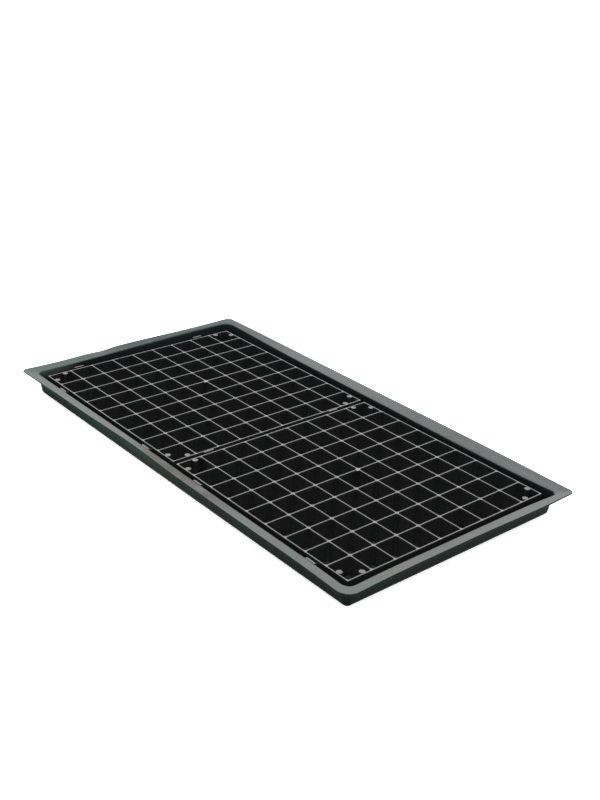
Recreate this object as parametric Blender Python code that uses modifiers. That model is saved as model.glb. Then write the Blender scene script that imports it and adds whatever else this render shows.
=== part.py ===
"""Spill containment pallet: a shallow moulded tray that holds two loose grate tiles.

Metres, +Z up. The origin is the centre of the tray's underside, +X runs along the long
side and +Y along the short side. Both grates are copies of one tile and lie the same
way round: the loops of the right one reach across to the edge of the left one.
"""
import bmesh
import bpy
from math import cos
from math import pi
from math import radians
from math import sin
from math import tan
from mathutils import Matrix
from mathutils import Vector

# Grate tile
PITCH = 0.055              # from the centre of one rib to the centre of the next
CELLS = 9                  # cells along each side of a tile
RIB = 0.0024               # rib thickness
TILE_HEIGHT = 0.039        # underside of the ribs to the deck
CELL_CORNER = 0.002        # chamfer in the corners of each cell
NOTCH_WIDTH = 0.012        # notch at the foot of each rib, halfway between two crossings
NOTCH_HEIGHT = 0.005       # it lets liquid run from cell to cell
SEAM = 0.0138              # between the centres of the two tiles' facing edge ribs

# Loops on two sides of a tile, which space it from its neighbour
LOOP_SIDES = (1, 2)        # quarter turns from the tile's +Y side
LATCH_STEP = 3             # cells from the middle of a side to each loop
LOOP_LENGTH = 0.024        # along the edge
LOOP_REACH = 0.0123        # centre of the edge rib to the outside of the loop
LOOP_BAR = 0.0035          # thickness of the loop's bar and arms
LOOP_HEIGHT = 0.008        # the loops hang down from the deck level
ARM_SPACING = 0.018        # between the centres of a loop's two arms

# Round bosses in the corner cells, which also stand on the tray
BOSS_RADIUS = 0.0057
BOSS_INSET = 0.0062        # centre of the edge rib to the centre of the boss
BOSS_NEAR = 0.028          # tile corner to boss, along the tray's long side
BOSS_FAR = 0.038           # tile corner to boss, along the tray's short side
BOSS_SIDES = 12

# Tray
TRAY_LENGTH = 1.096        # over the flange
TRAY_WIDTH = 0.584
SHEET = 0.003              # wall thickness
CLEARANCE = 0.0003         # between the tray floor and the tiles that stand on it
FLANGE_WIDTH = 0.026
FLANGE_RISE = 0.007        # the flange climbs by this much towards its outer edge
RIM_ABOVE_DECK = 0.0125    # outer edge of the flange above the tops of the grates
WALL_DRAFT = radians(10)
FLANGE_CORNER = 0.014      # plan radius at the flange's outer edge
MOUTH_CORNER = 0.015       # plan radius where the flange meets the wall
FLOOR_CORNER = 0.006       # plan radius at the foot of the wall
MOUTH_FILLET = 0.004       # rounding between flange and wall
FLOOR_FILLET = 0.007       # rounding between wall and floor
FLOOR_MARGIN = 0.010       # foot of the wall to the flat middle of the floor
CORNER_STEPS = 6           # straight pieces in each plan corner
FILLET_STEPS = 3           # straight pieces in each rounding

# Worked out from the above
EDGE_RIB = CELLS * PITCH / 2
TILE_HALF = EDGE_RIB + RIB / 2
TILE_BASE = SHEET + CLEARANCE
TILE_OFFSET = EDGE_RIB + SEAM / 2
TRAY_HEIGHT = TILE_BASE + TILE_HEIGHT + RIM_ABOVE_DECK
OVERCUT = 0.002            # how far a cutter runs past the faces that it cuts
SMOOTH_ANGLE = radians(35)


def clear_scene():
    """Remove the objects and collections that are already in the file."""
    for old in list(bpy.data.objects):
        bpy.data.objects.remove(old, do_unlink=True)
    for old in list(bpy.data.collections):
        bpy.data.collections.remove(old)


def new_collection(name):
    """Add a collection to the scene."""
    collection = bpy.data.collections.new(name)
    bpy.context.scene.collection.children.link(collection)
    return collection


def plastic(name, colour, roughness):
    """Return a plain moulded plastic."""
    material = bpy.data.materials.new(name)
    material.use_nodes = True
    shader = material.node_tree.nodes["Principled BSDF"]
    shader.inputs["Base Color"].default_value = (*colour, 1.0)
    shader.inputs["Roughness"].default_value = roughness
    shader.inputs["Metallic"].default_value = 0.0
    return material


def tray_plastic():
    """Return the green-black sheet plastic of the tray."""
    return plastic("tray_plastic", (0.022, 0.030, 0.028), 0.42)


def grate_plastic(name):
    """Return the black plastic of a grate tile."""
    return plastic(name, (0.020, 0.021, 0.021), 0.38)


def add_object(name, mesh, collection):
    """Add an object that shows a mesh to a collection."""
    obj = bpy.data.objects.new(name, mesh)
    collection.objects.link(obj)
    return obj


def mesh_from(bm, name):
    """Turn a bmesh into a mesh."""
    mesh = bpy.data.meshes.new(name)
    bm.to_mesh(mesh)
    bm.free()
    return mesh


def shade(mesh):
    """Shade the round faces smooth and keep the real edges sharp."""
    mesh.shade_smooth()
    mesh.set_sharp_from_angle(angle=SMOOTH_ANGLE)


def add_box(bm, low, high):
    """Add a box between two corners, and return its vertices."""
    verts = bmesh.ops.create_cube(bm, size=1.0)["verts"]
    for vert in verts:
        vert.co = [high[axis] if vert.co[axis] > 0 else low[axis] for axis in range(3)]
    return verts


def add_post(bm, x, y, radius, sides, low, high):
    """Add an upright cylinder, and return its vertices."""
    made = bmesh.ops.create_cone(
        bm, cap_ends=True, segments=sides, radius1=radius, radius2=radius, depth=1.0
    )
    for vert in made["verts"]:
        vert.co = (vert.co.x + x, vert.co.y + y, high if vert.co.z > 0 else low)
    return made["verts"]


def turn(bm, verts, quarters):
    """Turn vertices about the tile's upright axis by quarter turns."""
    bmesh.ops.rotate(bm, verts=verts, matrix=Matrix.Rotation(quarters * pi / 2, 3, "Z"))


def cell_cutter(cutters):
    """Return the cutter for all cells: one chamfered well, repeated both ways."""
    bm = bmesh.new()
    half = (PITCH - RIB) / 2
    add_box(bm, (-half, -half, -OVERCUT), (half, half, TILE_HEIGHT + OVERCUT))
    upright = [edge for edge in bm.edges if edge.verts[0].co.xy == edge.verts[1].co.xy]
    bmesh.ops.bevel(bm, geom=upright, offset=CELL_CORNER, segments=1, affect="EDGES")
    first_cell = -(CELLS - 1) / 2 * PITCH
    bmesh.ops.translate(bm, verts=bm.verts, vec=(first_cell, first_cell, 0))
    cutter = add_object("cut_cells", mesh_from(bm, "cut_cells"), cutters)
    for axis in range(2):
        array = cutter.modifiers.new("repeat_" + "xy"[axis], "ARRAY")
        array.count = CELLS
        array.use_relative_offset = False
        array.use_constant_offset = True
        array.constant_offset_displace = [PITCH if place == axis else 0 for place in range(3)]
    return cutter


def notch_cutter(axis, cutters):
    """Return the cutter for the notches in all the ribs that cross one axis."""
    bm = bmesh.new()
    end = TILE_HALF + OVERCUT
    for row in range(CELLS):
        start = -EDGE_RIB + (row + 0.5) * PITCH - NOTCH_WIDTH / 2
        verts = add_box(bm, (-end, start, -OVERCUT), (end, start + NOTCH_WIDTH, NOTCH_HEIGHT))
        turn(bm, verts, axis)
    name = "cut_notches_" + "xy"[axis]
    return add_object(name, mesh_from(bm, name), cutters)


def latch_parts(name, low, high, sides, cutters):
    """Return copies of a box at every latch place of some sides of the tile.

    The box is given on the +Y side, where x is along the edge from the latch's middle
    and y is measured outward from the centre of the edge rib.
    """
    bm = bmesh.new()
    for side in sides:
        for place in (-LATCH_STEP * PITCH, LATCH_STEP * PITCH):
            verts = add_box(
                bm,
                (place + low[0], EDGE_RIB + low[1], low[2]),
                (place + high[0], EDGE_RIB + high[1], high[2]),
            )
            turn(bm, verts, side)
    return add_object(name, mesh_from(bm, name), cutters)


def loop_arms(hand, cutters):
    """Return the arms that carry the loops, at one end of each loop."""
    centre = hand * ARM_SPACING / 2
    low = (centre - LOOP_BAR / 2, 0, TILE_HEIGHT - LOOP_HEIGHT)
    high = (centre + LOOP_BAR / 2, LOOP_REACH - LOOP_BAR / 2, TILE_HEIGHT)
    name = "add_arms_" + ("right" if hand > 0 else "left")
    return latch_parts(name, low, high, LOOP_SIDES, cutters)


def loop_bars(cutters):
    """Return the bars of the loops."""
    low = (-LOOP_LENGTH / 2, LOOP_REACH - LOOP_BAR, TILE_HEIGHT - LOOP_HEIGHT)
    high = (LOOP_LENGTH / 2, LOOP_REACH, TILE_HEIGHT)
    return latch_parts("add_bars", low, high, LOOP_SIDES, cutters)


def corner_bosses(cutters):
    """Return the round bosses, two in each corner cell."""
    bm = bmesh.new()
    across = EDGE_RIB - BOSS_INSET
    for x, y in ((EDGE_RIB - BOSS_NEAR, across), (across, EDGE_RIB - BOSS_FAR)):
        for side_x, side_y in ((-1, -1), (-1, 1), (1, -1), (1, 1)):
            place = (side_x * x, side_y * y)
            add_post(bm, *place, BOSS_RADIUS, BOSS_SIDES, 0, TILE_HEIGHT)
    return add_object("add_bosses", mesh_from(bm, "add_bosses"), cutters)


def tile_mesh(cutters):
    """Return the mesh of one grate tile, centred on its underside."""
    bm = bmesh.new()
    add_box(bm, (-TILE_HALF, -TILE_HALF, 0), (TILE_HALF, TILE_HALF, TILE_HEIGHT))
    blank = add_object("tile_blank", mesh_from(bm, "tile_blank"), cutters)
    steps = [
        ("DIFFERENCE", cell_cutter(cutters)),
        ("UNION", corner_bosses(cutters)),
        ("DIFFERENCE", notch_cutter(0, cutters)),
        ("DIFFERENCE", notch_cutter(1, cutters)),
        ("UNION", loop_arms(-1, cutters)),
        ("UNION", loop_arms(1, cutters)),
        ("UNION", loop_bars(cutters)),
    ]
    for operation, other in steps:
        modifier = blank.modifiers.new(other.name, "BOOLEAN")
        modifier.operation = operation
        modifier.solver = "EXACT"
        modifier.object = other
    evaluated = blank.evaluated_get(bpy.context.evaluated_depsgraph_get())
    mesh = bpy.data.meshes.new_from_object(evaluated)
    mesh.name = "grate_tile"
    shade(mesh)
    for guide in cutters.objects:
        guide.hide_render = True
        guide.display_type = "WIRE"
    return mesh


def make_grate(name, mesh, side, collection):
    """Place one grate tile on the tray floor, left or right of the middle."""
    grate = add_object(name, mesh.copy(), collection)
    grate.location = (side * TILE_OFFSET, 0, TILE_BASE)
    grate.data.materials.clear()
    grate.data.materials.append(grate_plastic(name + "_plastic"))
    return grate


def rounded_corner(before, corner, after, radius):
    """Return points along the arc that rounds one corner of a profile."""
    into = (corner - before).normalized()
    out = (after - corner).normalized()
    half_turn = into.angle(out) / 2
    start = corner - into * radius * tan(half_turn)
    end = corner + out * radius * tan(half_turn)
    centre = corner + (out - into).normalized() * radius / cos(half_turn)
    steps = [step / FILLET_STEPS for step in range(FILLET_STEPS + 1)]
    return [centre + radius * (start - centre).slerp(end - centre, step) for step in steps]


def tray_profile():
    """Return (distance inward from the flange's edge, height, plan radius) down the tray."""
    edge = Vector((0, TRAY_HEIGHT))
    mouth = Vector((FLANGE_WIDTH, TRAY_HEIGHT - FLANGE_RISE))
    foot = Vector((FLANGE_WIDTH + (mouth.y - SHEET) * tan(WALL_DRAFT), SHEET))
    middle = Vector((foot.x + FLOOR_MARGIN, SHEET))
    profile = [(*edge, FLANGE_CORNER)]
    profile += [(*point, MOUTH_CORNER) for point in rounded_corner(edge, mouth, foot, MOUTH_FILLET)]
    profile += [(*point, FLOOR_CORNER) for point in rounded_corner(mouth, foot, middle, FLOOR_FILLET)]
    profile.append((*middle, FLOOR_CORNER))
    return profile


def rounded_ring(bm, half_x, half_y, radius, z):
    """Add the points of a rectangle with round corners, and return them."""
    verts = []
    for quarter in range(4):
        centre_x = (half_x - radius) * (1, -1, -1, 1)[quarter]
        centre_y = (half_y - radius) * (1, 1, -1, -1)[quarter]
        for step in range(CORNER_STEPS + 1):
            angle = (quarter + step / CORNER_STEPS) * pi / 2
            place = (centre_x + radius * cos(angle), centre_y + radius * sin(angle), z)
            verts.append(bm.verts.new(place))
    return verts


def loft(bm, outer, inner):
    """Join two rings of points with a band of faces that look inward and up."""
    for here, there in zip(range(len(outer)), [*range(1, len(outer)), 0]):
        bm.faces.new((outer[here], outer[there], inner[there], inner[here]))


def make_tray(collection):
    """Loft the tray's inner surface from rounded rectangles, and give it its thickness."""
    bm = bmesh.new()
    rings = [
        rounded_ring(bm, TRAY_LENGTH / 2 - inward, TRAY_WIDTH / 2 - inward, radius, z)
        for inward, z, radius in tray_profile()
    ]
    for outer, inner in zip(rings, rings[1:]):
        loft(bm, outer, inner)
    bm.faces.new(rings[-1])
    mesh = mesh_from(bm, "spill_tray")
    shade(mesh)
    tray = add_object("spill_tray", mesh, collection)
    wall = tray.modifiers.new("sheet_thickness", "SOLIDIFY")
    wall.thickness = SHEET
    wall.offset = -1
    wall.use_even_offset = True
    mesh.materials.append(tray_plastic())
    return tray


def build():
    """Make the tray and the two grates."""
    clear_scene()
    pallet = new_collection("spill_containment_pallet")
    cutters = new_collection("cutters")
    make_tray(pallet)
    mesh = tile_mesh(cutters)
    make_grate("grate_left", mesh, -1, pallet)
    make_grate("grate_right", mesh, 1, pallet)
    bpy.data.meshes.remove(mesh)


build()
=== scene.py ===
"""Looks of the spill containment pallet: a thin formed tray with two black grate tiles."""
from math import cos
from math import exp
from math import hypot
from math import pi
from math import radians
from math import sin
from math import tan

import bmesh
import bpy
from mathutils import Matrix
from mathutils import Quaternion
from mathutils import Vector
from mathutils import noise


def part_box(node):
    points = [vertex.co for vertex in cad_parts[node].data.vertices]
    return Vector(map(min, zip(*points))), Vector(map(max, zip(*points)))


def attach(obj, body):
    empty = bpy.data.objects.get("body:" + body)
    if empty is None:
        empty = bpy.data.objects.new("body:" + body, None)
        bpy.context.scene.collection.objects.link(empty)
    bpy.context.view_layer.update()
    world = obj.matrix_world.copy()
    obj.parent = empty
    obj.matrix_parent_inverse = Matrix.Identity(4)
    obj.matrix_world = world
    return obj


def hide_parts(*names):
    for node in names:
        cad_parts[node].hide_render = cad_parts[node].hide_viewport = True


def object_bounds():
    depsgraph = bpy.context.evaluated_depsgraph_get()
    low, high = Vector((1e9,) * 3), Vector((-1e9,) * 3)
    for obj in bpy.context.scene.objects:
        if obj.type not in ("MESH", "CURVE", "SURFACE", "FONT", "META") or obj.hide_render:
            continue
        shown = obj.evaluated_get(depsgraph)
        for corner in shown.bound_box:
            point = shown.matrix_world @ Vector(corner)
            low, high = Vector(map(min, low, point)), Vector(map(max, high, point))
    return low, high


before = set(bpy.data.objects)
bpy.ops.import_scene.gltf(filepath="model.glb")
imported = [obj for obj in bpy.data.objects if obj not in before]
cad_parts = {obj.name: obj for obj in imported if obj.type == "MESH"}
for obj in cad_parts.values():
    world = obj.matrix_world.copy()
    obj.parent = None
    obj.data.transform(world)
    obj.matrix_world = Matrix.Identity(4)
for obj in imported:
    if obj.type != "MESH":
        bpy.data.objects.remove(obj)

cad_low, cad_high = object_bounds()
TRAY_LOW, TRAY_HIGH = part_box("spill_tray")
LEFT_LOW, LEFT_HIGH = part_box("grate_left")
RIGHT_LOW, RIGHT_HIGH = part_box("grate_right")

# Grate tile. Its size and place come from the frame.
CELLS = 9
RIB = 0.0024                       # rib thickness at the deck
TILE_HALF = LEFT_HIGH.y            # this side has no loops, so it is the tile's edge
EDGE_RIB = TILE_HALF - RIB / 2
PITCH = 2 * EDGE_RIB / CELLS
TILE_BASE = LEFT_LOW.z
TILE_HEIGHT = LEFT_HIGH.z - LEFT_LOW.z
DECK = LEFT_HIGH.z
LOOP_REACH = -LEFT_LOW.y - EDGE_RIB
TILE_CENTRES = {"grate_left": LEFT_HIGH.x - TILE_HALF, "grate_right": RIGHT_HIGH.x - TILE_HALF}

RIB_DRAFT = 0.0004                 # each side of a rib draws in by this much on its way down
CELL_CORNER = 0.0040               # round corner between two crossing ribs
CELL_CORNER_STEPS = 4
NOTCH_WIDTH = 0.012                # arched notch at the foot of each rib
NOTCH_HEIGHT = 0.005
NOTCH_ARCH = 0.0042                # radius of the arch's shoulders
NOTCH_STEPS = 4
LOOP_SIDES = (1, 2)                # quarter turns from the tile's +Y side
LATCH_STEP = 3                     # cells from the middle of a side to each loop
LOOP_END_STEPS = 5
LOOP_LENGTH = 0.024
LOOP_BAR = 0.0038
LOOP_HEIGHT = 0.008
ARM_SPACING = 0.018
ARM_DROP = 0.003                   # the arms lie lower than the bar they carry
BOSS_RADIUS = 0.0057
BOSS_INSET = 0.0062
BOSS_NEAR = 0.0280                 # from the corner along the tray's long sides
BOSS_FAR = 0.0380                  # from the corner along the tray's short sides
BOSS_SIDES = 28
GATE_RADIUS = 0.0042               # thickened crossings where the plastic was injected
GATE_DEPTH = 0.012
GATE_SIDES = 20
NUB_RADIUS = 0.0024                # a nub beside one of them
PIP_RADIUS = 0.0017                # a small pip on a rib of the same cell
PIP_SIDES = 16
EDGE_ROUND = 0.00040               # rounding of every edge of the tile
OVERCUT = 0.002

# Tray
SHEET = 0.003
FLANGE_WIDTH = 0.026
FLANGE_RISE = 0.007
FLANGE_SLANT = hypot(FLANGE_WIDTH, FLANGE_RISE)
LIP_LEAN = SHEET * FLANGE_RISE / FLANGE_SLANT     # the lip's lower edge stands out by this much
HALF_LENGTH = TRAY_HIGH.x - LIP_LEAN
HALF_WIDTH = TRAY_HIGH.y - LIP_LEAN
WALL_DRAFT = radians(10)
FLANGE_CORNERS = (0.010, 0.016, 0.012, 0.026)     # plan radius at each corner, from +X +Y round
MOUTH_CORNERS = (0.012, 0.018, 0.013, 0.017)
FLOOR_CORNER = 0.0045
MOUTH_FILLET = 0.0045
FLOOR_FILLET = 0.006
FLOOR_MARGIN = 0.007
LIP_ROUND = 0.0007
LIP_STEPS = 3
FILLET_STEPS = 7
CORNER_STEPS = 14
SIDE_STEP = 0.012                  # spacing of the points along the straight sides
FLANGE_STEPS = 5
WALL_STEPS = 6
CORNER_BLEND = 0.060               # a side is told from the other within this of its wall
WALL_BOW = 0.0009                  # how far the long walls bow inward between the corners
# How the thin sheet has warped: place along the rim, amount and half-length of each warp
RIM_SAGS = (                       # the lip hangs lower
    (Vector((HALF_LENGTH, -HALF_WIDTH)), 0.0036, 0.085),
    (Vector((-HALF_LENGTH, -0.20)), 0.0040, 0.110),
    (Vector((-HALF_LENGTH, -0.085)), 0.0026, 0.028),
    (Vector((-HALF_LENGTH, 0.16)), 0.0022, 0.120),
    (Vector((HALF_LENGTH, 0.20)), 0.0032, 0.120),
)
RIM_PULLS = (                      # the lip is drawn inward
    (Vector((-0.10, -HALF_WIDTH)), 0.0042, 0.120),
)
MOUTH_FLARES = (                   # the top of the wall leans outward and narrows the flange
    (Vector((HALF_LENGTH, -HALF_WIDTH)), 0.0060, 0.075),
    (Vector((-HALF_LENGTH, 0.13)), 0.0200, 0.200),
    (Vector((HALF_LENGTH, HALF_WIDTH)), 0.0090, 0.070),
    (Vector((0.34, HALF_WIDTH)), -0.0025, 0.230),
)
MOUTH_DROPS = (                    # the top of the wall lies lower and the flange is steeper
    (Vector((0.30, HALF_WIDTH)), 0.0055, 0.260),
    (Vector((-HALF_LENGTH, 0.24)), -0.0030, 0.150),
)

# Camera, in metres; the lens in millimetres
CAMERA_PLACE = Vector((1.629, -1.350, 1.099))
CAMERA_AIM = Vector((-0.0832, 0.1385, 0.042))
CAMERA_ROLL = radians(2.73)
CAMERA_LENS = 51.26

# Patches of another colour on the tray: place and reach
STAIN = (Vector((0.06, -HALF_WIDTH, TRAY_HIGH.z)), 0.21)
GREEN_PATCH = (Vector((-0.26, -HALF_WIDTH, TRAY_HIGH.z * 0.6)), 0.42)
# Painted light on the top of the inner wall near the left corner, as if lit over a soft round
INSIDE_LIT_PATCH = (Vector((-HALF_LENGTH, -HALF_WIDTH, TRAY_HIGH.z)) * 0.92, 0.13)

# Studio
FLOOR_COLOUR = (0.92, 0.92, 0.92)
FLOOR_RADIUS = 60
FLOOR_GLOW = 0.40                  # keeps the contact shadow faint
HORIZON_LIGHT = 1.4
ZENITH_LIGHT = 3.0
ZENITH_CLIMB = 0.85                # how steep a direction gets the zenith's light
PANEL_PLACE = Vector((-3.4, 3.0, 2.2))
PANEL_SIZE = (5.0, 2.6)
PANEL_POWER = 30

# Colours of the plastics, linear
TRAY_DARK = (0.0030, 0.0095, 0.0075)
TRAY_DEEP = (0.0024, 0.0070, 0.0056)
# Painted shade: the inside of the same sheet is given a darker, near-black copy of its colour
TRAY_INSIDE_SHADE = (0.0040, 0.0052, 0.0052)
# Painted light: the tray's floor is lightened so the cells seen from above are less dark
TRAY_FLOOR_FILL_LIGHT = (0.0240, 0.0250, 0.0245)
# Painted light on the top of the inner wall near the left corner
TRAY_INSIDE_LIT = (0.0200, 0.0280, 0.0240)
# Painted shade: the flange darker and greener toward its left end
TRAY_RIM_LEFT_SHADE = (0.0140, 0.0290, 0.0235)
TRAY_BLUED = (0.0460, 0.0540, 0.0530)
TRAY_STAIN = (0.0105, 0.0090, 0.0082)
TRAY_GREEN = (0.0030, 0.0190, 0.0125)
# Painted shade at the foot of the outer wall
TRAY_FOOT_SHADE = (0.0010, 0.0030, 0.0024)
# Flange colours: real scuffs plus a painted sheen that lightens the upward-facing top
TRAY_SCUFFED_SHEEN = (0.024, 0.030, 0.027)
TRAY_WORN_SHEEN = (0.035, 0.043, 0.039)
TRAY_PALE = (0.072, 0.082, 0.077)
GRATE_BLACK = (0.0062, 0.0064, 0.0066)
GRATE_STREAK = (0.0080, 0.0082, 0.0084)
# Painted light: the lower parts of the ribs are lightened to stand in for light reaching down
# into the cells
GRATE_FILL_LIGHT = (0.0285, 0.0290, 0.0290)
# Rib-top colours: rubbed wear plus a painted highlight; the gate colour is a painted highlight
GRATE_RUBBED_HIGHLIGHT = (0.042, 0.043, 0.042)
GRATE_WORN_HIGHLIGHT = (0.060, 0.061, 0.060)
GRATE_PALE_AND_HIGHLIGHT = (0.120, 0.120, 0.118)
GRATE_GATE_HIGHLIGHT = (0.135, 0.135, 0.132)
DUST = (0.090, 0.086, 0.078)

# Patterns: scale and detail of the noise, the part of its range that counts, and what it gives
TRAY_CLOUD = (7.0, 5.0, 0.32, 0.68)
TRAY_SPECKLE = (260.0, 3.0, 0.35, 0.65)
TRAY_SCUFFS_AND_SHEEN = (28.0, 6.0, 0.10, 0.60, 0.72, 1.0)
TRAY_BLOTCHES = (16.0, 4.0, 0.30, 0.50)
TRAY_DUST = (55.0, 6.0, 0.35, 0.80, 0.0, 0.22)
GRATE_CLOUD = (11.0, 5.0, 0.30, 0.70)
GRATE_SPECKLE = (340.0, 3.0, 0.35, 0.65)
GRATE_GRIME = (70.0, 5.0, 0.40, 0.75, 0.0, 0.30)
FLOW_SCALE = 160.0                 # streaks that run down the sides of the ribs
FLOW_STRETCH = (1, 1, 0.04)
# Fine scratches: direction and scale
TRAY_SCRATCHES = ((0.3, 230), (1.9, 190))
GRATE_SCRATCHES = ((0.7, 300), (2.2, 260))

# Where the masks fade
RIM_FADE = 0.008                   # below the flange
DECK_FADE = (0.0011, 0.0003)       # below the deck
CROSSING_FADE = (0.0022, 0.0046)   # from the middle of two crossing ribs
FLOOR_FADE = (0.004, 0.010)        # above the ground
INSIDE_LIT_FADE = (0.012, 0.048)
FOOT_FADE = 0.010                  # above the foot of the ribs
FAR_FADE = (0.10, 0.02)            # in from the far edge of the flange
LEFT_FADE = (0.05, 0.32)           # in from the left edge of the flange


# ---------------------------------------------------------------- camera, floor and light

def make_camera():
    """Look down on the near corner of the tray, with the long side running away to the left."""
    data = bpy.data.cameras.new("camera")
    data.lens = CAMERA_LENS
    data.clip_end = 200
    camera = bpy.data.objects.new("camera", data)
    bpy.context.scene.collection.objects.link(camera)
    camera.location = CAMERA_PLACE
    camera.rotation_mode = "QUATERNION"
    level = (CAMERA_AIM - CAMERA_PLACE).to_track_quat("-Z", "Y")
    camera.rotation_quaternion = level @ Quaternion((0, 0, 1), CAMERA_ROLL)
    bpy.context.scene.camera = camera


def make_floor():
    """A plain pale floor that runs out to the horizon."""
    bm = bmesh.new()
    bmesh.ops.create_circle(bm, cap_ends=True, segments=64, radius=FLOOR_RADIUS)
    floor = object_from(bm, "studio_floor")
    floor.location.z = cad_low.z
    material, shader = new_material("studio_floor")
    shader.inputs["Base Color"].default_value = (*FLOOR_COLOUR, 1)
    shader.inputs["Roughness"].default_value = 0.9
    shader.inputs["Specular IOR Level"].default_value = 0.1
    shader.inputs["Emission Color"].default_value = (1.0, 1.0, 1.0, 1)
    shader.inputs["Emission Strength"].default_value = FLOOR_GLOW
    floor.data.materials.append(material)


def light_studio():
    """A white dome, brighter overhead than at the horizon, and a soft panel behind the tray."""
    world = bpy.data.worlds.new("studio")
    bpy.context.scene.world = world
    world.use_nodes = True
    tree = world.node_tree
    direction = add_node(tree, "ShaderNodeTexCoord").outputs["Generated"]
    climb = part_of(tree, direction, "Z")
    strength = ramp(tree, climb, 0.0, ZENITH_CLIMB, HORIZON_LIGHT, ZENITH_LIGHT)
    background = tree.nodes["Background"]
    background.inputs["Color"].default_value = (1.0, 1.0, 1.0, 1)
    tree.links.new(strength, background.inputs["Strength"])
    data = bpy.data.lights.new("back_panel", "AREA")
    data.shape = "RECTANGLE"
    data.size, data.size_y = PANEL_SIZE
    data.energy = PANEL_POWER
    panel = bpy.data.objects.new("back_panel", data)
    bpy.context.scene.collection.objects.link(panel)
    panel.location = PANEL_PLACE
    panel.rotation_mode = "QUATERNION"
    panel.rotation_quaternion = (Vector((0, 0, DECK)) - PANEL_PLACE).to_track_quat("-Z", "Y")
    panel.visible_camera = False
    bpy.context.scene.view_settings.view_transform = "Standard"


# ---------------------------------------------------------------- mesh helpers

def object_from(bm, name):
    """Turn a bmesh into an object of the scene."""
    mesh = bpy.data.meshes.new(name)
    bm.to_mesh(mesh)
    bm.free()
    obj = bpy.data.objects.new(name, mesh)
    bpy.context.scene.collection.objects.link(obj)
    return obj


def add_prism(bm, outline, low, high, spread=0.0):
    """Add an upright prism over a counter-clockwise outline, wider by spread at its foot."""
    centre = sum((Vector(point) for point in outline), Vector((0, 0))) / len(outline)
    foot = []
    head = []
    for point in outline:
        offset = Vector(point) - centre
        wider = Vector([place + spread * (1 if place > 0 else -1) for place in offset]) + centre
        foot.append(bm.verts.new((*wider, low)))
        head.append(bm.verts.new((*point, high)))
    bm.faces.new(head)
    bm.faces.new(foot[::-1])
    for here in range(len(outline)):
        there = (here + 1) % len(outline)
        bm.faces.new((foot[here], foot[there], head[there], head[here]))
    return foot + head


def rounded_outline(low, high, radii, steps):
    """Return the outline of a rectangle with round corners, counter-clockwise.

    The radius is one number, or one for each corner starting at the top right.
    """
    points = []
    for quarter in range(4):
        radius = radii[quarter] if isinstance(radii, list) else radii
        x = (high[0] - radius) if quarter in (0, 3) else (low[0] + radius)
        y = (high[1] - radius) if quarter in (0, 1) else (low[1] + radius)
        for step in range(steps + 1):
            angle = (quarter + step / steps) * pi / 2
            points.append((x + radius * cos(angle), y + radius * sin(angle)))
    return points


def circle_outline(x, y, radius, sides):
    """Return points on a circle, counter-clockwise."""
    angles = [2 * pi * (side + 0.5) / sides for side in range(sides)]
    return [(x + radius * cos(angle), y + radius * sin(angle)) for angle in angles]


def turn(bm, verts, quarters):
    """Turn vertices about the upright axis by quarter turns."""
    bmesh.ops.rotate(bm, verts=verts, matrix=Matrix.Rotation(quarters * pi / 2, 3, "Z"))


def arc(before, corner, after, radius, steps):
    """Return points along the arc that rounds one corner of a profile."""
    into = (corner - before).normalized()
    out = (after - corner).normalized()
    half_turn = into.angle(out) / 2
    start = corner - into * radius * tan(half_turn)
    end = corner + out * radius * tan(half_turn)
    centre = corner + (out - into).normalized() * radius / cos(half_turn)
    parts = [step / steps for step in range(steps + 1)]
    return [centre + radius * (start - centre).slerp(end - centre, part) for part in parts]


def apply_modifiers(obj):
    """Replace an object's mesh by what its modifiers make of it."""
    evaluated = obj.evaluated_get(bpy.context.evaluated_depsgraph_get())
    mesh = bpy.data.meshes.new_from_object(evaluated)
    obj.modifiers.clear()
    obj.data = mesh


# ---------------------------------------------------------------- grate tile

def cell_wells():
    """The wells of all the cells: rounded squares that widen on their way down."""
    bm = bmesh.new()
    half = (PITCH - RIB) / 2
    for column in range(CELLS):
        for row in range(CELLS):
            x = (column - (CELLS - 1) / 2) * PITCH
            y = (row - (CELLS - 1) / 2) * PITCH
            outline = rounded_outline(
                (x - half, y - half), (x + half, y + half), CELL_CORNER, CELL_CORNER_STEPS
            )
            add_prism(bm, outline, -OVERCUT, TILE_HEIGHT + OVERCUT, RIB_DRAFT)
    return object_from(bm, "cut_wells")


def notch_tunnels(axis):
    """The arched tunnels that cut the notches in all the ribs across one axis."""
    bm = bmesh.new()
    end = TILE_HALF + OVERCUT
    for row in range(CELLS):
        start = -EDGE_RIB + (row + 0.5) * PITCH - NOTCH_WIDTH / 2
        stop = start + NOTCH_WIDTH
        low = (start, -NOTCH_HEIGHT)
        high = (stop, NOTCH_HEIGHT)
        whole = rounded_outline(low, high, NOTCH_ARCH, NOTCH_STEPS)
        roof = [point for point in whole if point[1] > 0]
        outline = [(stop, -OVERCUT), *roof, (start, -OVERCUT)]
        verts = add_prism(bm, outline, -end, end)
        for vert in verts:
            vert.co = (vert.co.z, vert.co.x, vert.co.y)
        turn(bm, verts, axis)
    return object_from(bm, "cut_notches_" + "xy"[axis])


def latch_prisms(name, outline, low, high):
    """Copies of a prism at both places of the loops, on each side that has them.

    The outline is given on the +Y side: x along the edge from the loop's middle, y
    outward from the centre of the edge rib.
    """
    bm = bmesh.new()
    for side in LOOP_SIDES:
        for place in (-LATCH_STEP * PITCH, LATCH_STEP * PITCH):
            moved = [(x + place, y + EDGE_RIB) for x, y in outline]
            turn(bm, add_prism(bm, moved, low, high), side)
    return object_from(bm, name)


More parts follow.
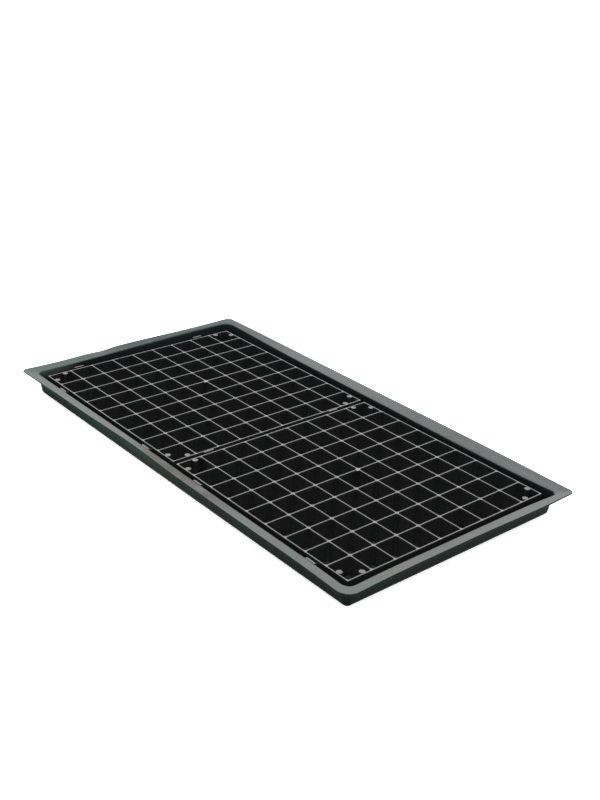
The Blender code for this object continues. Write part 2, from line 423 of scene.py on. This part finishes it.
def loop_arm(hand):
    """The arms at one end of the loops."""
    centre = hand * ARM_SPACING / 2
    left = centre - LOOP_BAR / 2
    right = centre + LOOP_BAR / 2
    end = LOOP_REACH - LOOP_BAR / 2
    outline = [(left, 0), (right, 0), (right, end), (left, end)]
    return latch_prisms(
        "add_arms_" + "lr"[hand > 0],
        outline,
        TILE_HEIGHT - LOOP_HEIGHT,
        TILE_HEIGHT - ARM_DROP,
    )


def loop_bar():
    """The bars of the loops, with round ends."""
    low = (-LOOP_LENGTH / 2, LOOP_REACH - LOOP_BAR)
    high = (LOOP_LENGTH / 2, LOOP_REACH)
    outline = rounded_outline(low, high, LOOP_BAR * 0.48, LOOP_END_STEPS)
    return latch_prisms("add_bars", outline, TILE_HEIGHT - LOOP_HEIGHT, TILE_HEIGHT)


def corner_bosses():
    """The round bosses, two in each corner cell, which also stand on the tray."""
    bm = bmesh.new()
    across = EDGE_RIB - BOSS_INSET
    for x, y in ((EDGE_RIB - BOSS_NEAR, across), (across, EDGE_RIB - BOSS_FAR)):
        for side_x, side_y in ((-1, -1), (-1, 1), (1, -1), (1, 1)):
            outline = circle_outline(side_x * x, side_y * y, BOSS_RADIUS, BOSS_SIDES)
            add_prism(bm, outline, 0, TILE_HEIGHT)
    return object_from(bm, "add_bosses")


def gate_marks():
    """Two thickened crossings beside the middle cell, where the plastic was injected."""
    bm = bmesh.new()
    half = PITCH / 2
    for side in (-1, 1):
        outline = circle_outline(side * half, -side * half, GATE_RADIUS, GATE_SIDES)
        add_prism(bm, outline, TILE_HEIGHT - GATE_DEPTH, TILE_HEIGHT)
    return object_from(bm, "add_gates")


def mould_pips():
    """A nub beside one of the thickened crossings, and a small pip on the rib that leads away."""
    bm = bmesh.new()
    half = PITCH / 2
    pips = (
        (-half + NUB_RADIUS * 1.4, half - NUB_RADIUS * 1.9, NUB_RADIUS),
        (PITCH * 0.10, half - RIB / 2, PIP_RADIUS),
    )
    for x, y, radius in pips:
        outline = circle_outline(x, y, radius, PIP_SIDES)
        add_prism(bm, outline, TILE_HEIGHT - GATE_DEPTH / 2, TILE_HEIGHT)
    return object_from(bm, "add_pips")


def make_tile():
    """Return the mesh of one grate tile, centred on its underside."""
    bm = bmesh.new()
    edge = TILE_HALF
    add_prism(bm, ((-edge, -edge), (edge, -edge), (edge, edge), (-edge, edge)), 0, TILE_HEIGHT)
    tile = object_from(bm, "tile_blank")
    steps = [
        ("DIFFERENCE", cell_wells()),
        ("UNION", corner_bosses()),
        ("UNION", gate_marks()),
        ("UNION", mould_pips()),
        ("DIFFERENCE", notch_tunnels(0)),
        ("DIFFERENCE", notch_tunnels(1)),
        ("UNION", loop_arm(-1)),
        ("UNION", loop_arm(1)),
        ("UNION", loop_bar()),
    ]
    for operation, other in steps:
        modifier = tile.modifiers.new(other.name, "BOOLEAN")
        modifier.operation = operation
        modifier.solver = "EXACT"
        modifier.object = other
    apply_modifiers(tile)
    for _, other in steps:
        bpy.data.objects.remove(other, do_unlink=True)
    bevel = tile.modifiers.new("edge_round", "BEVEL")
    bevel.width = EDGE_ROUND
    bevel.segments = 2
    bevel.limit_method = "ANGLE"
    bevel.angle_limit = radians(30)
    bevel.use_clamp_overlap = True
    apply_modifiers(tile)
    mesh = tile.data
    bpy.data.objects.remove(tile, do_unlink=True)
    mesh.shade_smooth()
    mesh.set_sharp_from_angle(angle=radians(35))
    return mesh


def place_grate(node, body, mesh, material):
    """Place a tile over its CAD node."""
    grate = bpy.data.objects.new(node + "_tile", mesh.copy())
    bpy.context.scene.collection.objects.link(grate)
    grate.data.transform(Matrix.Translation((TILE_CENTRES[node], 0, TILE_BASE)))
    grate.data.materials.append(material)
    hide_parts(node)
    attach(grate, body)


# ---------------------------------------------------------------- tray

def crossing(point, along, other, other_along):
    """Return where two straight lines of the profile cross."""
    side = Vector((-other_along.y, other_along.x))
    return point + along * ((other - point).dot(side) / along.dot(side))


def spaced(start, end, short, steps):
    """Return points on the way from one point towards another, stopping a little short of it."""
    way = end - start
    way *= 1 - short / way.length
    return [start + way * (step / steps) for step in range(1, steps)]


def sheet_profile():
    """Return both faces of the sheet's section as (distance in from the flange's edge, height).

    The first runs down the inside, from the flange's lip to the floor, and the second
    back up the outside.
    """
    lip = Vector((0, TRAY_HIGH.z))
    mouth = Vector((FLANGE_WIDTH, TRAY_HIGH.z - FLANGE_RISE))
    foot = Vector((FLANGE_WIDTH + (mouth.y - SHEET) * tan(WALL_DRAFT), SHEET))
    floor_end = Vector((foot.x + FLOOR_MARGIN, SHEET))
    slope = (mouth - lip).normalized()
    wall = (foot - mouth).normalized()
    lip_under = lip + Vector((slope.y, -slope.x)) * SHEET
    wall_behind = mouth + Vector((wall.y, -wall.x)) * SHEET
    mouth_under = crossing(lip_under, slope, wall_behind, wall)
    foot_under = crossing(wall_behind, wall, Vector((0, 0)), Vector((1, 0)))
    end_under = Vector((floor_end.x, 0))
    inside = arc(lip_under, lip, mouth, LIP_ROUND, LIP_STEPS)
    inside += spaced(inside[-1], mouth, MOUTH_FILLET, FLANGE_STEPS)
    inside += arc(lip, mouth, foot, MOUTH_FILLET, FILLET_STEPS)
    inside += spaced(inside[-1], foot, FLOOR_FILLET, WALL_STEPS)
    inside += arc(mouth, foot, floor_end, FLOOR_FILLET, FILLET_STEPS)
    inside.append(floor_end)
    outside = [end_under]
    outside += arc(end_under, foot_under, mouth_under, FLOOR_FILLET + SHEET, FILLET_STEPS)
    outside += spaced(outside[-1], mouth_under, SHEET, WALL_STEPS)
    outside += arc(foot_under, mouth_under, lip_under, MOUTH_FILLET - SHEET, FILLET_STEPS)
    outside += spaced(outside[-1], lip_under, SHEET, FLANGE_STEPS)
    outside += arc(mouth_under, lip_under, lip, LIP_ROUND, LIP_STEPS)
    return inside, outside


def plan_radii(inward):
    """Return the plan radii of the tray's corners at a distance in from the flange's edge."""
    across_flange = min(max(inward / FLANGE_WIDTH, 0), 1)
    down_wall = min(max((inward - FLANGE_WIDTH) / (TRAY_HIGH.z * tan(WALL_DRAFT)), 0), 1)
    radii = []
    for outer, mouth in zip(FLANGE_CORNERS, MOUTH_CORNERS):
        radii.append(outer + (mouth - outer) * across_flange + (FLOOR_CORNER - mouth) * down_wall)
    return radii


def plan_ring(inward):
    """Return points around the tray, a rectangle with round corners and evenly split sides."""
    half_x = HALF_LENGTH - inward
    half_y = HALF_WIDTH - inward
    turning = rounded_outline(
        (-half_x, -half_y), (half_x, half_y), plan_radii(inward), CORNER_STEPS
    )
    count = CORNER_STEPS + 1
    points = []
    for quarter in range(4):
        points += turning[quarter * count:(quarter + 1) * count]
        start = Vector(points[-1])
        end = Vector(turning[(quarter + 1) * count % len(turning)])
        side = 2 * (HALF_LENGTH if quarter in (0, 2) else HALF_WIDTH)
        steps = round(side / SIDE_STEP)
        points += [start.lerp(end, step / steps) for step in range(1, steps)]
    return points


def warp(warps, x, y):
    """Return what some warps add up to at a point in plan."""
    return sum(
        amount * exp(-((Vector((x, y)) - place).length / reach) ** 2)
        for place, amount, reach in warps
    )


def settle(x, y, z, inward):
    """Return where a point of the sheet lies once the thin plastic has warped a little."""
    loose = min(max(1 - inward / FLANGE_WIDTH, 0), 1)
    height = min(max((z - SHEET) / (TRAY_HIGH.z - SHEET), 0), 1)
    bow = WALL_BOW * height * (1 + noise.noise((x * 2.3, y * 2.3, 9.0)))
    drawn_in = bow + warp(RIM_PULLS, x, y) * loose
    at_mouth = height ** 3 * (1 - loose)
    drawn_in -= warp(MOUTH_FLARES, x, y) * at_mouth
    side_x = min(max((abs(x) - HALF_LENGTH) / CORNER_BLEND + 1.5, 0), 1)
    side_y = min(max((abs(y) - HALF_WIDTH) / CORNER_BLEND + 1.5, 0), 1)
    moved_x = x - drawn_in * side_x * (1 if x > 0 else -1)
    moved_y = y - drawn_in * side_y * (1 if y > 0 else -1)
    drop = warp(RIM_SAGS, x, y) * loose + warp(MOUTH_DROPS, x, y) * at_mouth
    return moved_x, moved_y, z - drop


def make_tray(material):
    """Loft the sheet's section around the tray, and close its floor on both faces."""
    bm = bmesh.new()
    inside, outside = sheet_profile()
    rings = []
    for inward, height in inside + outside:
        ring = [settle(*point, height, inward) for point in plan_ring(inward)]
        rings.append([bm.verts.new(place) for place in ring])
    floor_ring = len(inside) - 1
    for index, outer in enumerate(rings):
        if index == floor_ring:
            continue
        inner = rings[(index + 1) % len(rings)]
        for here in range(len(outer)):
            there = (here + 1) % len(outer)
            bm.faces.new((outer[here], outer[there], inner[there], inner[here]))
    bm.faces.new(rings[floor_ring])
    bm.faces.new(rings[floor_ring + 1][::-1])
    tray = object_from(bm, "formed_tray")
    tray.data.shade_smooth()
    tray.data.set_sharp_from_angle(angle=radians(40))
    tray.data.materials.append(material)
    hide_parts("spill_tray")
    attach(tray, "tray")


# ---------------------------------------------------------------- materials

def new_material(name):
    """Return a new material and its Principled shader."""
    material = bpy.data.materials.new(name)
    material.use_nodes = True
    return material, material.node_tree.nodes["Principled BSDF"]


def add_node(tree, kind, inputs=None, **settings):
    """Add a node, set its properties, and fill its inputs with links or plain values."""
    node = tree.nodes.new(kind)
    for name, value in settings.items():
        setattr(node, name, value)
    for key, value in (inputs or {}).items():
        if isinstance(value, bpy.types.NodeSocket):
            tree.links.new(value, node.inputs[key])
        else:
            node.inputs[key].default_value = value
    return node


def part_of(tree, vector, axis):
    """Return one component of a vector."""
    return add_node(tree, "ShaderNodeSeparateXYZ", {0: vector}).outputs[axis]


def ramp(tree, value, start, stop, low=0.0, high=1.0):
    """Return a smooth step from low to high as a value goes from start to stop."""
    inputs = {"Value": value, "From Min": start, "From Max": stop, "To Min": low, "To Max": high}
    return add_node(
        tree, "ShaderNodeMapRange", inputs, interpolation_type="SMOOTHSTEP"
    ).outputs["Result"]


def maths(tree, operation, first, second):
    """Return the result of an operation on two values."""
    return add_node(tree, "ShaderNodeMath", {0: first, 1: second}, operation=operation).outputs[0]


def times(tree, first, second):
    """Return the product of two values."""
    return maths(tree, "MULTIPLY", first, second)


def total(tree, *values):
    """Return the sum of some values."""
    result = values[0]
    for value in values[1:]:
        result = maths(tree, "ADD", result, value)
    return result


def blend_colour(tree, part, first, second):
    """Return a colour part of the way from the first to the second."""
    inputs = {"Factor": part, "A": first, "B": second}
    node = tree.nodes.new("ShaderNodeMix")
    node.data_type = "RGBA"
    for key, value in inputs.items():
        socket = next(s for s in node.inputs if s.enabled and s.name == key)
        if isinstance(value, bpy.types.NodeSocket):
            tree.links.new(value, socket)
        else:
            socket.default_value = (*value, 1) if key != "Factor" else value
    return next(s for s in node.outputs if s.enabled)


def grain(tree, place, scale, detail=4.0, stretch=(1, 1, 1), angle=0.0):
    """Return a noise pattern, stretched along an axis and turned about the vertical."""
    mapped = add_node(
        tree, "ShaderNodeMapping", {"Vector": place, "Rotation": (0, 0, angle), "Scale": stretch}
    ).outputs["Vector"]
    inputs = {"Vector": mapped, "Scale": scale, "Detail": detail, "Roughness": 0.6}
    return add_node(tree, "ShaderNodeTexNoise", inputs).outputs[0]


def pattern(tree, place, scale, detail, start, stop, low=0.0, high=1.0):
    """Return a noise pattern with only a part of its range."""
    return ramp(tree, grain(tree, place, scale, detail), start, stop, low, high)


def scratched(tree, place, directions):
    """Return a mask of fine scratches that run in two directions."""
    masks = []
    for angle, scale in directions:
        streaks = grain(tree, place, scale, 2.0, (0.02, 1.0, 0.3), angle)
        masks.append(ramp(tree, streaks, 0.64, 0.70))
    return maths(tree, "MAXIMUM", *masks)


def bumped(tree, height, distance, strength, under=None):
    """Return a normal bent by a height, on top of another bump if there is one."""
    inputs = {"Height": height, "Distance": distance, "Strength": strength}
    if under:
        inputs["Normal"] = under
    return add_node(tree, "ShaderNodeBump", inputs).outputs["Normal"]


def surface_masks(tree):
    """Return the point, its height and how far the surface faces up."""
    place = add_node(tree, "ShaderNodeTexCoord").outputs["Object"]
    facing = add_node(tree, "ShaderNodeNewGeometry").outputs["Normal"]
    return place, part_of(tree, place, "Z"), part_of(tree, facing, "Z")


def patch(tree, place, centre, reach):
    """Return a mask that fades out at a distance from a point."""
    away = add_node(tree, "ShaderNodeVectorMath", {0: place, 1: centre}, operation="DISTANCE")
    return ramp(tree, away.outputs["Value"], reach * 0.4, reach, 1.0, 0.0)


def near_crossing(tree, place):
    """Return a mask of the crossings of the ribs, the same on both tiles."""
    away = []
    for axis, centre in (("X", TILE_CENTRES["grate_right"]), ("Y", 0)):
        across = maths(tree, "ABSOLUTE", part_of(tree, place, axis), 0)
        from_edge = total(tree, across, EDGE_RIB - centre)
        away.append(maths(tree, "PINGPONG", from_edge, PITCH / 2))
    return ramp(tree, maths(tree, "MAXIMUM", *away), *CROSSING_FADE, 1.0, 0.0)


def gate_spots(tree, place):
    """Return a mask of the crossing on each tile where the plastic went in."""
    spots = [
        patch(tree, place, Vector((centre - PITCH / 2, PITCH / 2, DECK)), GATE_RADIUS * 2)
        for centre in TILE_CENTRES.values()
    ]
    return maths(tree, "MAXIMUM", *spots)


def wall_colour(tree, place, height, upward, cloud):
    """Return the colour of the tray's wall: green, with painted shade darkening its foot, black
    inside with painted shade, and a painted light on the top of the inner wall near the left
    corner.
    """
    outside = blend_colour(tree, cloud, TRAY_DARK, TRAY_DEEP)
    green = times(tree, patch(tree, place, *GREEN_PATCH), 0.8)
    outside = blend_colour(tree, green, outside, TRAY_GREEN)
    # Painted shade: the outer wall darkens towards its foot
    foot = ramp(tree, height, 0.0, TRAY_HIGH.z * 0.7, 0.8, 0.0)
    outside = blend_colour(tree, foot, outside, TRAY_FOOT_SHADE)
    # Painted light: the top of the inner wall near the left corner is lightened, fading downward
    inside_lit = times(tree, patch(tree, place, *INSIDE_LIT_PATCH), ramp(tree, height, *INSIDE_LIT_FADE))
    inside = blend_colour(tree, inside_lit, TRAY_INSIDE_SHADE, TRAY_INSIDE_LIT)
    # Faces turned up and inward take the inside colour, a painted shade
    return blend_colour(tree, ramp(tree, upward, -0.06, 0.06), outside, inside)


def rim_colour(tree, place, cloud, fine):
    """Return the colour of the flange: scuffs plus a painted sheen on its top, differing a little
    from side to side, with painted shade toward its left end.
    """
    colour = blend_colour(tree, cloud, TRAY_SCUFFED_SHEEN, TRAY_WORN_SHEEN)
    colour = blend_colour(tree, times(tree, fine, 0.35), colour, TRAY_PALE)
    y = part_of(tree, place, "Y")
    far_side = ramp(tree, y, HALF_WIDTH - FAR_FADE[0], HALF_WIDTH - FAR_FADE[1], 0.0, 0.6)
    colour = blend_colour(tree, far_side, colour, TRAY_BLUED)
    x = part_of(tree, place, "X")
    # Painted shade: the flange darkens and turns greener toward its left end
    left_end = ramp(tree, x, LEFT_FADE[0] - HALF_LENGTH, LEFT_FADE[1] - HALF_LENGTH, 0.7, 0.0)
    colour = blend_colour(tree, left_end, colour, TRAY_RIM_LEFT_SHADE)
    stained = times(tree, patch(tree, place, *STAIN), pattern(tree, place, *TRAY_BLOTCHES))
    return blend_colour(tree, stained, colour, TRAY_STAIN)


def tray_shine(tree, place, flange):
    """Return the specular level of the tray: matte walls, and a flange duller at its left end."""
    x = part_of(tree, place, "X")
    wall = ramp(tree, x, -HALF_LENGTH, 0.0, 0.004, 0.018)
    rim = ramp(tree, x, -HALF_LENGTH, -0.2, 0.15, 0.21)
    return ramp(tree, flange, 0, 1, wall, rim)


def tray_sheet():
    """Formed green-black sheet, scuffed pale on the flange with a painted sheen there, with
    painted shade inside and at the wall's foot, and dusty on the floor over a painted light.
    """
    material, shader = new_material("tray_sheet")
    tree = material.node_tree
    place, height, upward = surface_masks(tree)
    mouth = TRAY_HIGH.z - FLANGE_RISE
    top = ramp(tree, height, mouth - RIM_FADE, mouth)
    flange = times(tree, top, ramp(tree, upward, 0.60, 0.95))
    cloud = pattern(tree, place, *TRAY_CLOUD)
    fine = pattern(tree, place, *TRAY_SPECKLE)
    lines = times(tree, scratched(tree, place, TRAY_SCRATCHES), times(tree, flange, 0.45))
    body = wall_colour(tree, place, height, upward, cloud)
    # The flange top takes the paler rim colour almost all over: real scuffs plus a painted sheen
    scuff_and_sheen = times(tree, flange, pattern(tree, place, *TRAY_SCUFFS_AND_SHEEN))
    colour = blend_colour(tree, scuff_and_sheen, body, rim_colour(tree, place, cloud, fine))
    colour = blend_colour(tree, lines, colour, TRAY_PALE)
    # The tray's floor is painted lighter, a painted light for the cells; the dust on top is real
    low = ramp(tree, height, *FLOOR_FADE, 1.0, 0.0)
    level = times(tree, ramp(tree, upward, 0.85, 1.0), low)
    colour = blend_colour(tree, level, colour, TRAY_FLOOR_FILL_LIGHT)
    dust = times(tree, level, pattern(tree, place, *TRAY_DUST))
    colour = blend_colour(tree, dust, colour, DUST)
    tree.links.new(colour, shader.inputs["Base Color"])
    rough = total(
        tree,
        ramp(tree, cloud, 0, 1, 0.27, 0.36),
        times(tree, flange, 0.06),
        times(tree, fine, 0.05),
        times(tree, lines, 0.25),
    )
    tree.links.new(rough, shader.inputs["Roughness"])
    tree.links.new(tray_shine(tree, place, flange), shader.inputs["Specular IOR Level"])
    waves = bumped(tree, grain(tree, place, 26.0, 2.0), 0.0016, 0.5)
    skin = bumped(tree, grain(tree, place, 620.0, 4.0), 0.00035, 0.35, waves)
    tree.links.new(bumped(tree, lines, -0.0001, 0.5, skin), shader.inputs["Normal"])
    return material


def rubbed_and_highlight_colour(tree, place, cloud, fine, scratches):
    """Return the colour of the tops of the ribs: rubbed wear plus a painted highlight, palest
    where they cross, with a painted highlight on the gate spots.
    """
    colour = blend_colour(tree, cloud, GRATE_RUBBED_HIGHLIGHT, GRATE_WORN_HIGHLIGHT)
    colour = blend_colour(tree, times(tree, fine, 0.3), colour, GRATE_PALE_AND_HIGHLIGHT)
    colour = blend_colour(tree, times(tree, scratches, 0.5), colour, GRATE_PALE_AND_HIGHLIGHT)
    # Painted highlight: the crossings are made paler, and the gate spots palest
    crossings = times(tree, near_crossing(tree, place), 0.7)
    colour = blend_colour(tree, crossings, colour, GRATE_PALE_AND_HIGHLIGHT)
    return blend_colour(tree, gate_spots(tree, place), colour, GRATE_GATE_HIGHLIGHT)


def grate_moulding():
    """Black moulded plastic, rubbed pale with a painted highlight on the tops of the ribs, dusty
    at their feet, with painted light low in the cells.
    """
    material, shader = new_material("grate_moulding")
    tree = material.node_tree
    place, height, upward = surface_masks(tree)
    deck = ramp(tree, height, DECK - DECK_FADE[0], DECK - DECK_FADE[1])
    top = times(tree, deck, ramp(tree, upward, 0.80, 0.98))
    cloud = pattern(tree, place, *GRATE_CLOUD)
    fine = pattern(tree, place, *GRATE_SPECKLE)
    streaks = ramp(tree, grain(tree, place, FLOW_SCALE, 3.0, FLOW_STRETCH), 0.42, 0.62)
    scratches = scratched(tree, place, GRATE_SCRATCHES)
    body = blend_colour(tree, streaks, GRATE_BLACK, GRATE_STREAK)
    # Painted light: lighter towards the foot of the ribs, against the shade deep in the cells
    cell_fill_light = ramp(tree, height, TILE_BASE, DECK - TILE_HEIGHT * 0.15, 0.70, 0.0)
    body = blend_colour(tree, cell_fill_light, body, GRATE_FILL_LIGHT)
    # The tops of the ribs: rubbed wear plus a painted highlight
    rubbed_and_highlight = rubbed_and_highlight_colour(tree, place, cloud, fine, scratches)
    colour = blend_colour(tree, top, body, rubbed_and_highlight)
    foot = ramp(tree, height, TILE_BASE, TILE_BASE + FOOT_FADE, 1.0, 0.0)
    grime = times(tree, foot, pattern(tree, place, *GRATE_GRIME))
    colour = blend_colour(tree, grime, colour, DUST)
    tree.links.new(colour, shader.inputs["Base Color"])
    rough = total(
        tree,
        ramp(tree, cloud, 0, 1, 0.30, 0.40),
        times(tree, fine, 0.06),
        times(tree, top, 0.05),
    )
    tree.links.new(rough, shader.inputs["Roughness"])
    tree.links.new(ramp(tree, top, 0, 1, 0.04, 0.26), shader.inputs["Specular IOR Level"])
    flow = bumped(tree, streaks, 0.00006, 0.4)
    skin = bumped(tree, grain(tree, place, 900.0, 3.0), 0.0002, 0.3, flow)
    marks = times(tree, scratches, top)
    tree.links.new(bumped(tree, marks, -0.00008, 0.5, skin), shader.inputs["Normal"])
    return material


# ---------------------------------------------------------------- scene

def build():
    """Make the stage, the tray and both grates."""
    make_camera()
    make_floor()
    light_studio()
    make_tray(tray_sheet())
    moulding = grate_moulding()
    tile = make_tile()
    place_grate("grate_left", "left_grate", tile, moulding)
    place_grate("grate_right", "right_grate", tile, moulding)
    bpy.data.meshes.remove(tile)


build()
